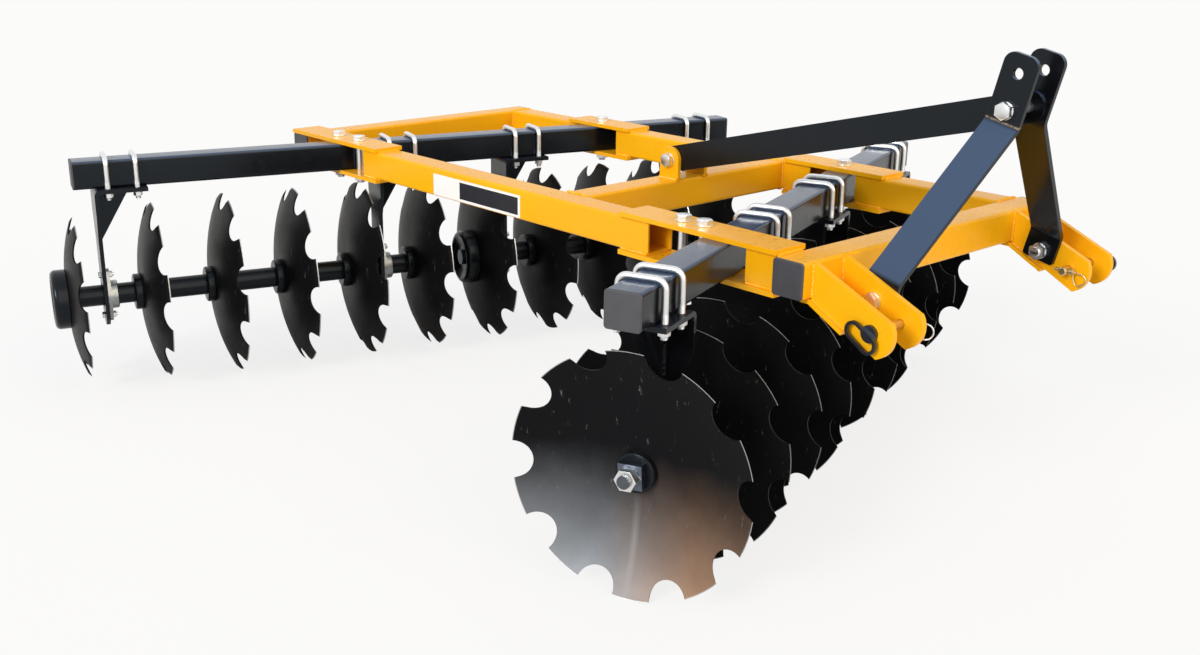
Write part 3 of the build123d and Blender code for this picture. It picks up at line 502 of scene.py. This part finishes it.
# these have a material for each gang
gangLooks = {"_discs": (discSteel, 0.0004), "_arbor_bolt": (arborSteel, 0.0012)}
for name in nodes:
    ending = next((e for e in gangLooks if name.endswith(e)), None)
    if ending:
        gangMaterial, edge = gangLooks[ending]
        finish(name, gangMaterial(name.replace(ending, "")), edge)
    else:
        finish(name, *frameLooks[next(w for w in frameLooks if w in name)])
print("finishes on", len(nodes), "nodes")

# pieces that the frame's nodes don't have: welds, threads, washers, rings and the name plate

def newPiece(name, bm, material, body):
    for face in bm.faces:
        face.smooth = True
    for edge in bm.edges:
        edge.smooth = len(edge.link_faces) == 2 and edge.calc_face_angle(0) < edgeRules["crease"]
    mesh = bpy.data.meshes.new(name)
    bm.to_mesh(mesh)
    bm.free()
    mesh.materials.append(material)
    piece = bpy.data.objects.new(name, mesh)
    scene.collection.objects.link(piece)
    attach(piece, body)

def stepsAlong(points, step, closed):
    # places a step apart along a run of points
    points = [Vector(p) for p in points] + ([Vector(points[0])] if closed else [])
    places, spare = [], 0.0
    for start, end in zip(points, points[1:]):
        run = (end - start).length
        while spare < run:
            places.append(start.lerp(end, spare / run))
            spare += step
        spare -= run
    return places if closed else places + [points[-1]]

def addRun(bm, points, size, ripple, swell=0.0, waver=0.0, sides=8, closed=False, up=None, dice=None):
    # a round bar along the points, its rings a little larger and smaller by turns
    places = stepsAlong(points, ripple / 2, closed)
    count = len(places)
    ring = bmesh.ops.create_circle(bm, cap_ends=False, segments=sides, radius=size)["verts"]
    loop = list({e for v in ring for e in v.link_edges})
    firstLoop, pose = loop, Matrix.Identity(4)
    for k, here in enumerate(places):
        ahead = places[(k + 1) % count] if closed else places[min(k + 1, count - 1)]
        behind = places[k - 1] if closed else places[max(k - 1, 0)]
        along = (ahead - behind).normalized()
        upward = up or (Vector((1, 0, 0)) if abs(along.z) > 0.7 else Vector((0, 0, 1)))
        side = upward.cross(along).normalized()
        grow = 1 + swell * (1 if k % 2 else -1) + (dice.uniform(-waver, waver) if dice else 0)
        there = Matrix((side, along.cross(side), along)).transposed().to_4x4()
        there.translation = here
        there = there @ Matrix.Scale(grow, 4)
        if k:
            grown = bmesh.ops.extrude_edge_only(bm, edges=loop)["geom"]
            ring = {g for g in grown if isinstance(g, bmesh.types.BMVert)}
            loop = [g for g in grown if isinstance(g, bmesh.types.BMEdge) and all(v in ring for v in g.verts)]
        bmesh.ops.transform(bm, matrix=there @ pose.inverted(), verts=list(ring))
        pose = there
    if closed:
        bmesh.ops.bridge_loops(bm, edges=firstLoop + loop)
    else:
        bmesh.ops.holes_fill(bm, edges=firstLoop + loop)

def squared(centre, across, upward):
    # the outline of the square tube about a centre, in the plane of two directions
    points = []
    for k in range(4):
        for turn in (0, 30, 60, 90):
            angle = math.radians(90 * k + turn)
            corner = math.radians(90 * k + 45)
            flat = (half - steel["corner"]) * math.sqrt(2)
            u = flat * math.cos(corner) + steel["corner"] * math.cos(angle)
            v = flat * math.sin(corner) + steel["corner"] * math.sin(angle)
            points.append(centre + Vector(across) * u + Vector(upward) * v)
    return points

weld = {"size": 0.0042, "ripple": 0.0050, "swell": 0.12, "waver": 0.09, "sides": 8}
weldDice = random.Random(4)

def addWeld(bm, points, closed=False, up=None, size=weld["size"]):
    addRun(bm, points, size, weld["ripple"], weld["swell"], weld["waver"], weld["sides"],
           closed, up, weldDice)

tubeMiddle = (railTop + railBottom) / 2
sideRails = (steel["railX"], -steel["railX"])
frameWelds = {"clevisX": 0.420, "slot": 0.047, "ear": 0.016, "seamBottom": 0.003, "seamTop": 0.004,
              "footRun": 0.109, "footSlope": math.radians(27.95), "footSize": 0.0036, "footUnder": 0.026,
              "footWide": 0.071, "lugInner": 0.050, "lugAhead": 0.008, "lugHalf": 0.038, "lugSize": 0.0048}
bm = bmesh.new()
for x in sideRails:
    addWeld(bm, squared(onFrame(x, -half, tubeMiddle), (1, 0, 0), (0, 0, 1)), True, Vector((0, 1, 0)))
for x in (steel["railX"] - half, half - steel["railX"]):
    addWeld(bm, squared(onFrame(x, steel["middleY"], tubeMiddle), (0, 1, 0), (0, 0, 1)),
            True, Vector((1, 0, 0)))
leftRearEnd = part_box("left_rail_rear")[0][1] - centreline.y
addWeld(bm, squared(onFrame(-steel["railX"], leftRearEnd, tubeMiddle), (1, 0, 0), (0, 0, 1)),
        True, Vector((0, 1, 0)))
footAhead = frameWelds["footRun"] * math.cos(frameWelds["footSlope"])
footDrop = frameWelds["footRun"] * math.sin(frameWelds["footSlope"])
for side in (1, -1):
    for x in (frameWelds["slot"], -frameWelds["slot"], frameWelds["slot"] + frameWelds["ear"],
              -frameWelds["slot"] - frameWelds["ear"]):
        x = side * frameWelds["clevisX"] + x
        addWeld(bm, (onFrame(x, half, railBottom + frameWelds["seamBottom"]),
                     onFrame(x, half, railTop - frameWelds["seamTop"])))
        addWeld(bm, (onFrame(x, half, railBottom), onFrame(x, half + footAhead, railBottom - footDrop)),
                size=frameWelds["footSize"])
    addWeld(bm, [onFrame(side * frameWelds["clevisX"] + w, half - frameWelds["footUnder"], railBottom)
                 for w in (-frameWelds["footWide"], frameWelds["footWide"])])
    for x in (frameWelds["lugInner"], frameWelds["lugInner"] + steel["plate"]):
        addWeld(bm, [onFrame(side * x, steel["middleY"] + frameWelds["lugAhead"] + y, railTop)
                     for y in (-frameWelds["lugHalf"], frameWelds["lugHalf"])], size=frameWelds["lugSize"])
newPiece("frame_welds", bm, yellowPaint, "frame")

crossings = ("right_front", "right_rear", "left_front", "left_rear")
plateWelds = {"railSide": 0.0405, "inset": 0.0020, "size": 0.0050, "endGap": 0.004, "shortest": 0.02}
bm = bmesh.new()
for name in crossings:
    low, high = (Vector(c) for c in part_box(name + "_crossing_plates"))
    rails = [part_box(n) for n in nodes if n.startswith(name.split("_")[0] + "_rail")]
    x = (low.x + high.x) / 2
    for y in (low.y, high.y):
        for z in (railTop, railBottom):
            addWeld(bm, [Vector((x + across, y, z))
                         for across in (-plateWelds["railSide"], plateWelds["railSide"])])
    for railLow, railHigh in rails:
        start = max(low.y, railLow[1]) + plateWelds["endGap"]
        end = min(high.y, railHigh[1]) - plateWelds["endGap"]
        if end - start < plateWelds["shortest"]:
            continue
        for side in (-1, 1):
            for z in (railTop - plateWelds["inset"], railBottom + plateWelds["inset"]):
                beadX = x + side * (plateWelds["railSide"] + plateWelds["inset"])
                addWeld(bm, (Vector((beadX, start, z)), Vector((beadX, end, z))), size=plateWelds["size"])
newPiece("crossing_plate_welds", bm, yellowPaint, "frame")
print("frame welds done")

hanger = {"plate": 0.0127, "plateUnder": 0.3464, "beamUnder": 0.3591, "gussetHalf": 0.005,
          "weldDrops": (0.153, 0.010), "weldReaches": (0.008, 0.094)}
uBolt = {"stations": (0.038, 0.128), "side": 0.05645, "bar": 0.008, "nut": 0.014, "end": 0.3234,
         "threadAbove": 0.021, "thread": 0.0087, "washer": 0.0155, "washerThick": 0.0026, "pitch": 0.0022}
threadLook = {"proud": 0.0002, "swell": 0.045, "sides": 14}
washerLook = {"sides": 28, "round": 0.22, "level": 0.00001}  # the round is a share of the thickness
rowGangs = {"front": ("front_right", "front_left"), "rear": ("rear_right", "rear_left")}

def addWasher(bm, pose, radius, thick):
    # a flat washer whose lower face is on the pose's origin
    made = bmesh.ops.create_cone(bm, cap_ends=True, segments=washerLook["sides"], radius1=radius,
                                 radius2=radius, depth=thick)["verts"]
    rims = list({e for v in made for e in v.link_edges
                 if abs(e.verts[0].co.z - e.verts[1].co.z) < washerLook["level"]})
    rounded = bmesh.ops.bevel(bm, geom=rims, offset=thick * washerLook["round"], segments=2, profile=0.5,
                              affect="EDGES", material=-1)
    made = list({v for f in rounded["faces"] for v in f.verts} | {v for v in made if v.is_valid})
    bmesh.ops.transform(bm, matrix=pose @ place(0, 0, thick / 2), verts=made)

def addThread(bm, pose, radius, length, pitch):
    addRun(bm, (pose @ Vector((0, 0, 0)), pose @ Vector((0, 0, length))), radius, pitch,
           threadLook["swell"], 0, threadLook["sides"])

for row, gangs in rowGangs.items():
    welds, washers, threads = bmesh.new(), bmesh.new(), bmesh.new()
    for gang in gangs:
        for matrix in hangerMatrices(gang):
            face, under = hanger["plate"] / 2, hanger["plateUnder"]
            for y in (-hanger["gussetHalf"], hanger["gussetHalf"]):
                addWeld(welds, [matrix @ Vector((face, y, under - drop)) for drop in hanger["weldDrops"]],
                        up=matrix.to_3x3() @ Vector((0, 1, 0)))
                addWeld(welds, [matrix @ Vector((face + reach, y, under)) for reach in hanger["weldReaches"]])
            for station in uBolt["stations"]:
                for y in (-uBolt["side"], uBolt["side"]):
                    foot = matrix @ place(station, y)
                    addWasher(washers, foot @ place(0, 0, under - uBolt["washerThick"]),
                              uBolt["washer"], uBolt["washerThick"])
                    addThread(threads, foot @ place(0, 0, uBolt["end"]), uBolt["bar"] + threadLook["proud"],
                              under - uBolt["nut"] - uBolt["end"], uBolt["pitch"])
                    addThread(threads, foot @ place(0, 0, hanger["beamUnder"]), uBolt["thread"],
                              uBolt["threadAbove"], uBolt["pitch"])
    newPiece(row + "_hanger_welds", welds, hangerPaint, "frame")
    newPiece(row + "_u_bolt_washers", washers, brightZinc, "frame")
    newPiece(row + "_u_bolt_threads", threads, brightZinc, "frame")
print("hanger welds, washers and threads done")

bigBolt = {"across": 0.038, "bar": 0.0125, "washer": 0.0216, "washerThick": 0.0034, "nut": 0.020,
           "clampTail": 0.008, "frameTail": 0.006, "threadInto": 0.001, "pitch": 0.0025, "head": 0.016,
           "crown": 0.0172, "crownRise": 0.0009, "crownInto": 0.0001}

def addBigBolt(washers, threads, head, gripLength, tail):
    # head is the pose of the head's seat, its Z pointing out of the head
    addWasher(washers, head, bigBolt["washer"], bigBolt["washerThick"])
    addWasher(washers, head @ place(0, 0, bigBolt["head"] - bigBolt["crownInto"]),
              bigBolt["crown"], bigBolt["crownRise"])
    addWasher(washers, head @ place(0, 0, -gripLength - bigBolt["washerThick"]),
              bigBolt["washer"], bigBolt["washerThick"])
    addThread(threads, head @ place(0, 0, -gripLength - (bigBolt["nut"] + tail)),
              bigBolt["bar"] + threadLook["proud"], tail + bigBolt["threadInto"], bigBolt["pitch"])

washers, threads = bmesh.new(), bmesh.new()
grip = steel["tube"] + 2 * steel["plate"]
for name in crossings:
    low, high = (Vector(c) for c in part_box(name + "_crossing_bolts"))
    ys = {round(low.y + bigBolt["across"] / 2, 4), round(high.y - bigBolt["across"] / 2, 4)}
    for y in sorted(ys):
        addBigBolt(washers, threads, place((low.x + high.x) / 2, y, railTop + steel["plate"]), grip,
                   bigBolt["clampTail"])
mastBolt = onFrame(mast["stack"], mast["footY"] + mast["boltHeight"] * math.sin(mast["lean"]),
                   railTop - mast["footDrop"] + mast["boltHeight"] * math.cos(mast["lean"]))
lugBolt = onFrame(mast["stack"], steel["middleY"] + frameWelds["lugAhead"], railTop + mast["lugRise"])
for seat in (mastBolt, lugBolt):
    addBigBolt(washers, threads, Matrix.Translation(seat) @ turned(90, "Y"), 2 * mast["stack"],
               bigBolt["frameTail"])
for side in (1, -1):
    seat = onFrame(side * mast["slotSide"], mast["footY"], railTop - mast["footDrop"])
    addBigBolt(washers, threads, Matrix.Translation(seat) @ turned(90 * side, "Y"),
               mast["slotSide"] - mast["strapFace"], bigBolt["frameTail"])
newPiece("frame_bolt_washers", washers, brightZinc, "frame")
newPiece("frame_bolt_threads", threads, brightZinc, "frame")

arbor = {"nutStart": 0.049, "nutEnd": 0.075, "end": 0.083, "bar": 0.015, "pitch": 0.0030, "threadInto": 0.001,
         "washer": 0.0250, "washerThick": 0.002}
for gang in gangNames:
    bm = bmesh.new()
    first = discStations(gang)[0]
    outward = gangMatrix(gang) @ turned(90, "Y")
    addThread(bm, outward @ place(0, 0, first + arbor["nutEnd"] - arbor["threadInto"]),
              arbor["bar"] + threadLook["proud"], arbor["end"] - arbor["nutEnd"] + 2 * arbor["threadInto"],
              arbor["pitch"])
    addWasher(bm, outward @ place(0, 0, first + arbor["nutStart"]), arbor["washer"], arbor["washerThick"])
    newPiece(gang + "_arbor_thread", bm, darkSteel, gang + "_gang")

rings = {"x": 0.343, "left": ((0.229, -0.131), (0.243, -0.170), (0.275, -0.150), (0.262, -0.131)),
         "leftWire": 0.0021, "leftRounds": 3, "right": (0.258, -0.143), "rightRadius": 0.0185,
         "rightWire": 0.0019, "rightTilt": 25, "rightPoints": 60, "step": 0.004, "sides": 10}

def cornersRounded(points, times):
    # cuts every corner off at a quarter of its sides, over and over
    for _ in range(times):
        points = [a.lerp(b, t) for a, b in zip(points, points[1:] + points[:1]) for t in (0.25, 0.75)]
    return points

bm = bmesh.new()
corners = [onFrame(-rings["x"], y, railTop + z) for y, z in rings["left"]]
addRun(bm, cornersRounded(corners, rings["leftRounds"]), rings["leftWire"], rings["step"],
       sides=rings["sides"], closed=True, up=Vector((1, 0, 0)))
newPiece("left_linchpin_ring", bm, yellowZinc, "frame")
bm = bmesh.new()
centre = onFrame(rings["x"], rings["right"][0], railTop + rings["right"][1])
tilt = turned(rings["rightTilt"], "Z")
circle = [centre + tilt @ (turned(360 / rings["rightPoints"] * k, "X") @ Vector((0, rings["rightRadius"], 0)))
          for k in range(rings["rightPoints"])]
addRun(bm, circle, rings["rightWire"], rings["step"], sides=rings["sides"], closed=True,
       up=tilt.to_3x3() @ Vector((1, 0, 0)))
newPiece("right_linchpin_ring", bm, brightZinc, "frame")
print("bolts, washers, threads and rings done")

plate = {"front": -0.993, "back": -1.418, "top": 0.018, "bottom": 0.084, "thick": 0.0008, "round": 0.003,
         "bandFront": -1.003, "bandBack": -1.283, "bandTop": 0.0255, "bandBottom": 0.0765, "cloud": 40,
         "paper": ((0.93, 0.93, 0.92), (0.84, 0.83, 0.81)), "band": (0.012, 0.012, 0.018),
         "rough": (0.30, 0.48)}

def plateFilm():
    # white film with a plain dark band
    film, ns, ls, shader = blankMaterial("plateFilm")
    where = ownPlace(ns)
    parts = ns.new("ShaderNodeSeparateXYZ")
    ls.new(where, parts.inputs[0])
    band = onFrame(0, (plate["bandFront"] + plate["bandBack"]) / 2,
                   railTop - (plate["bandTop"] + plate["bandBottom"]) / 2)
    wide = (plate["bandFront"] - plate["bandBack"]) / 2
    tall = (plate["bandBottom"] - plate["bandTop"]) / 2
    inside = []
    for axis, middle, reach in (("Y", band.y, wide), ("Z", band.z, tall)):
        off = reckon(ns, ls, "ABSOLUTE", reckon(ns, ls, "SUBTRACT", parts.outputs[axis], middle))
        inside.append(reckon(ns, ls, "LESS_THAN", off, reach))
    cloud = noise(ns, ls, where, plate["cloud"], 4)
    color = mixed(ns, ls, cloud, *plate["paper"])
    color = mixed(ns, ls, reckon(ns, ls, "MULTIPLY", *inside), color, plate["band"])
    ls.new(color, shader.inputs["Base Color"])
    ls.new(spread(ns, ls, cloud, *plate["rough"]), shader.inputs["Roughness"])
    return film

bm = bmesh.new()
made = bmesh.ops.create_cube(bm, size=1)["verts"]
bmesh.ops.scale(bm, vec=(plate["thick"] * 2, plate["front"] - plate["back"], plate["bottom"] - plate["top"]),
                verts=made)
uprights = [e for e in bm.edges if abs(e.verts[0].co.x - e.verts[1].co.x) > plate["thick"]]
bmesh.ops.bevel(bm, geom=uprights, offset=plate["round"], segments=4, profile=0.5,
                affect="EDGES", material=-1)
bmesh.ops.translate(bm, vec=onFrame(steel["railX"] + half, (plate["front"] + plate["back"]) / 2,
                                    railTop - (plate["top"] + plate["bottom"]) / 2), verts=bm.verts)
newPiece("name_plate", bm, plateFilm(), "frame")
print("name plate done")
